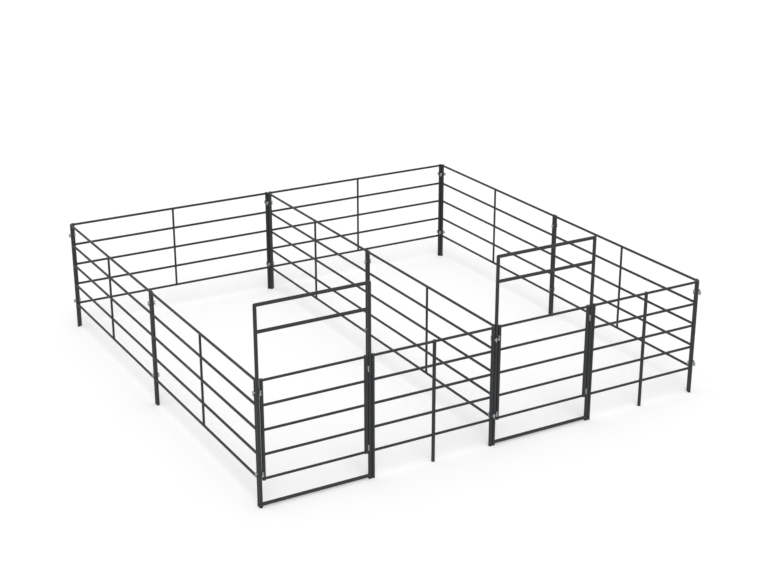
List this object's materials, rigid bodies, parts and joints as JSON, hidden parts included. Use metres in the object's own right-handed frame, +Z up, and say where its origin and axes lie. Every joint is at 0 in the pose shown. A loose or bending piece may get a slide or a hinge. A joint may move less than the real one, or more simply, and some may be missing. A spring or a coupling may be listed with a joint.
{
  "type": "livestock stall",
  "caption": "Two adjoining livestock pens of tubular steel rail panels joined by drop pins, each with a tall framed swing gate.",
  "frame": {"origin": "centre of the footprint, on the ground", "axes": "+Z up; +Y from the gates towards the back wall; +X to the right as seen from the gates"},
  "size_m": [6.198, 6.1928, 2.4011],
  "materials": {
    "charcoal_paint": "semi-gloss charcoal powder coat",
    "zinc_plate": "dull bright zinc plating",
    "brass": "plain"
  },
  "bodies": {
    "pens": {"back_panel_left": "charcoal_paint", "back_panel_right": "charcoal_paint", "left_wall_panel_rear": "charcoal_paint", "left_wall_panel_front": "charcoal_paint", "middle_wall_panel_rear": "charcoal_paint", "middle_wall_panel_front": "charcoal_paint", "right_wall_panel_rear": "charcoal_paint", "right_wall_panel_front": "charcoal_paint", "front_panel_left": "charcoal_paint", "front_panel_right": "charcoal_paint", "gate_frame_left": "charcoal_paint", "gate_frame_right": "charcoal_paint", "hinge_washer_left_upper": "brass", "hinge_washer_left_lower": "brass", "hinge_washer_right_upper": "brass", "hinge_washer_right_lower": "brass"},
    "gate_left": {"gate_leaf_left": "charcoal_paint"},
    "gate_right": {"gate_leaf_right": "charcoal_paint"},
    "latch_left_upper": {"latch_pin_left_upper": "zinc_plate"},
    "latch_left_lower": {"latch_pin_left_lower": "zinc_plate"},
    "latch_right_upper": {"latch_pin_right_upper": "zinc_plate"},
    "latch_right_lower": {"latch_pin_right_lower": "zinc_plate"},
    "pin_back_left_upper": {"drop_pin_back_left_upper": "zinc_plate"},
    "pin_back_left_lower": {"drop_pin_back_left_lower": "zinc_plate"},
    "pin_back_middle_left_upper": {"drop_pin_back_middle_left_upper": "zinc_plate"},
    "pin_back_middle_left_lower": {"drop_pin_back_middle_left_lower": "zinc_plate"},
    "pin_back_middle_right_upper": {"drop_pin_back_middle_right_upper": "zinc_plate"},
    "pin_back_middle_right_lower": {"drop_pin_back_middle_right_lower": "zinc_plate"},
    "pin_back_right_upper": {"drop_pin_back_right_upper": "zinc_plate"},
    "pin_back_right_lower": {"drop_pin_back_right_lower": "zinc_plate"},
    "pin_left_wall_upper": {"drop_pin_left_wall_upper": "zinc_plate"},
    "pin_left_wall_lower": {"drop_pin_left_wall_lower": "zinc_plate"},
    "pin_middle_wall_upper": {"drop_pin_middle_wall_upper": "zinc_plate"},
    "pin_middle_wall_lower": {"drop_pin_middle_wall_lower": "zinc_plate"},
    "pin_right_wall_upper": {"drop_pin_right_wall_upper": "zinc_plate"},
    "pin_right_wall_lower": {"drop_pin_right_wall_lower": "zinc_plate"},
    "pin_front_left_upper": {"drop_pin_front_left_upper": "zinc_plate"},
    "pin_front_left_lower": {"drop_pin_front_left_lower": "zinc_plate"},
    "pin_left_hinge_post_upper": {"drop_pin_left_hinge_post_upper": "zinc_plate"},
    "pin_left_hinge_post_lower": {"drop_pin_left_hinge_post_lower": "zinc_plate"},
    "pin_front_middle_wall_upper": {"drop_pin_front_middle_wall_upper": "zinc_plate"},
    "pin_front_middle_wall_lower": {"drop_pin_front_middle_wall_lower": "zinc_plate"},
    "pin_front_middle_post_upper": {"drop_pin_front_middle_post_upper": "zinc_plate"},
    "pin_front_middle_post_lower": {"drop_pin_front_middle_post_lower": "zinc_plate"},
    "pin_right_hinge_post_upper": {"drop_pin_right_hinge_post_upper": "zinc_plate"},
    "pin_right_hinge_post_lower": {"drop_pin_right_hinge_post_lower": "zinc_plate"},
    "pin_front_right_upper": {"drop_pin_front_right_upper": "zinc_plate"},
    "pin_front_right_lower": {"drop_pin_front_right_lower": "zinc_plate"}
  },
  "joints": [
    {"name": "gate_left_swing", "type": "hinge", "parent": "pens", "child": "gate_left", "pos_m": [-1.70491, -3.06289, 1.371], "axis": [0, 0, 1], "range_deg": [0, 150]},
    {"name": "gate_right_swing", "type": "hinge", "parent": "pens", "child": "gate_right", "pos_m": [1.34305, -3.06289, 1.371], "axis": [0, 0, 1], "range_deg": [0, 150]},
    {"name": "latch_left_upper_drop", "type": "slide", "parent": "gate_left", "child": "latch_left_upper", "axis": [0, 0, 1], "range_m": [-0.0155, 0]},
    {"name": "latch_left_lower_drop", "type": "slide", "parent": "gate_left", "child": "latch_left_lower", "axis": [0, 0, 1], "range_m": [-0.0155, 0]},
    {"name": "latch_right_upper_drop", "type": "slide", "parent": "gate_right", "child": "latch_right_upper", "axis": [0, 0, 1], "range_m": [-0.0155, 0]},
    {"name": "latch_right_lower_drop", "type": "slide", "parent": "gate_right", "child": "latch_right_lower", "axis": [0, 0, 1], "range_m": [-0.0155, 0]},
    {"name": "pin_back_left_upper_lift", "type": "slide", "parent": "pens", "child": "pin_back_left_upper", "axis": [0, 0, 1], "range_m": [0, 0.06]},
    {"name": "pin_back_left_lower_lift", "type": "slide", "parent": "pens", "child": "pin_back_left_lower", "axis": [0, 0, 1], "range_m": [0, 0.06]},
    {"name": "pin_back_middle_left_upper_lift", "type": "slide", "parent": "pens", "child": "pin_back_middle_left_upper", "axis": [0, 0, 1], "range_m": [0, 0.06]},
    {"name": "pin_back_middle_left_lower_lift", "type": "slide", "parent": "pens", "child": "pin_back_middle_left_lower", "axis": [0, 0, 1], "range_m": [0, 0.06]},
    {"name": "pin_back_middle_right_upper_lift", "type": "slide", "parent": "pens", "child": "pin_back_middle_right_upper", "axis": [0, 0, 1], "range_m": [0, 0.06]},
    {"name": "pin_back_middle_right_lower_lift", "type": "slide", "parent": "pens", "child": "pin_back_middle_right_lower", "axis": [0, 0, 1], "range_m": [0, 0.06]},
    {"name": "pin_back_right_upper_lift", "type": "slide", "parent": "pens", "child": "pin_back_right_upper", "axis": [0, 0, 1], "range_m": [0, 0.06]},
    {"name": "pin_back_right_lower_lift", "type": "slide", "parent": "pens", "child": "pin_back_right_lower", "axis": [0, 0, 1], "range_m": [0, 0.06]},
    {"name": "pin_left_wall_upper_lift", "type": "slide", "parent": "pens", "child": "pin_left_wall_upper", "axis": [0, 0, 1], "range_m": [0, 0.06]},
    {"name": "pin_left_wall_lower_lift", "type": "slide", "parent": "pens", "child": "pin_left_wall_lower", "axis": [0, 0, 1], "range_m": [0, 0.06]},
    {"name": "pin_middle_wall_upper_lift", "type": "slide", "parent": "pens", "child": "pin_middle_wall_upper", "axis": [0, 0, 1], "range_m": [0, 0.06]},
    {"name": "pin_middle_wall_lower_lift", "type": "slide", "parent": "pens", "child": "pin_middle_wall_lower", "axis": [0, 0, 1], "range_m": [0, 0.06]},
    {"name": "pin_right_wall_upper_lift", "type": "slide", "parent": "pens", "child": "pin_right_wall_upper", "axis": [0, 0, 1], "range_m": [0, 0.06]},
    {"name": "pin_right_wall_lower_lift", "type": "slide", "parent": "pens", "child": "pin_right_wall_lower", "axis": [0, 0, 1], "range_m": [0, 0.06]},
    {"name": "pin_front_left_upper_lift", "type": "slide", "parent": "pens", "child": "pin_front_left_upper", "axis": [0, 0, 1], "range_m": [0, 0.06]},
    {"name": "pin_front_left_lower_lift", "type": "slide", "parent": "pens", "child": "pin_front_left_lower", "axis": [0, 0, 1], "range_m": [0, 0.06]},
    {"name": "pin_left_hinge_post_upper_lift", "type": "slide", "parent": "pens", "child": "pin_left_hinge_post_upper", "axis": [0, 0, 1], "range_m": [0, 0.06]},
    {"name": "pin_left_hinge_post_lower_lift", "type": "slide", "parent": "pens", "child": "pin_left_hinge_post_lower", "axis": [0, 0, 1], "range_m": [0, 0.06]},
    {"name": "pin_front_middle_wall_upper_lift", "type": "slide", "parent": "pens", "child": "pin_front_middle_wall_upper", "axis": [0, 0, 1], "range_m": [0, 0.06]},
    {"name": "pin_front_middle_wall_lower_lift", "type": "slide", "parent": "pens", "child": "pin_front_middle_wall_lower", "axis": [0, 0, 1], "range_m": [0, 0.06]},
    {"name": "pin_front_middle_post_upper_lift", "type": "slide", "parent": "pens", "child": "pin_front_middle_post_upper", "axis": [0, 0, 1], "range_m": [0, 0.06]},
    {"name": "pin_front_middle_post_lower_lift", "type": "slide", "parent": "pens", "child": "pin_front_middle_post_lower", "axis": [0, 0, 1], "range_m": [0, 0.06]},
    {"name": "pin_right_hinge_post_upper_lift", "type": "slide", "parent": "pens", "child": "pin_right_hinge_post_upper", "axis": [0, 0, 1], "range_m": [0, 0.06]},
    {"name": "pin_right_hinge_post_lower_lift", "type": "slide", "parent": "pens", "child": "pin_right_hinge_post_lower", "axis": [0, 0, 1], "range_m": [0, 0.06]},
    {"name": "pin_front_right_upper_lift", "type": "slide", "parent": "pens", "child": "pin_front_right_upper", "axis": [0, 0, 1], "range_m": [0, 0.06]},
    {"name": "pin_front_right_lower_lift", "type": "slide", "parent": "pens", "child": "pin_front_right_lower", "axis": [0, 0, 1], "range_m": [0, 0.06]}
  ]
}
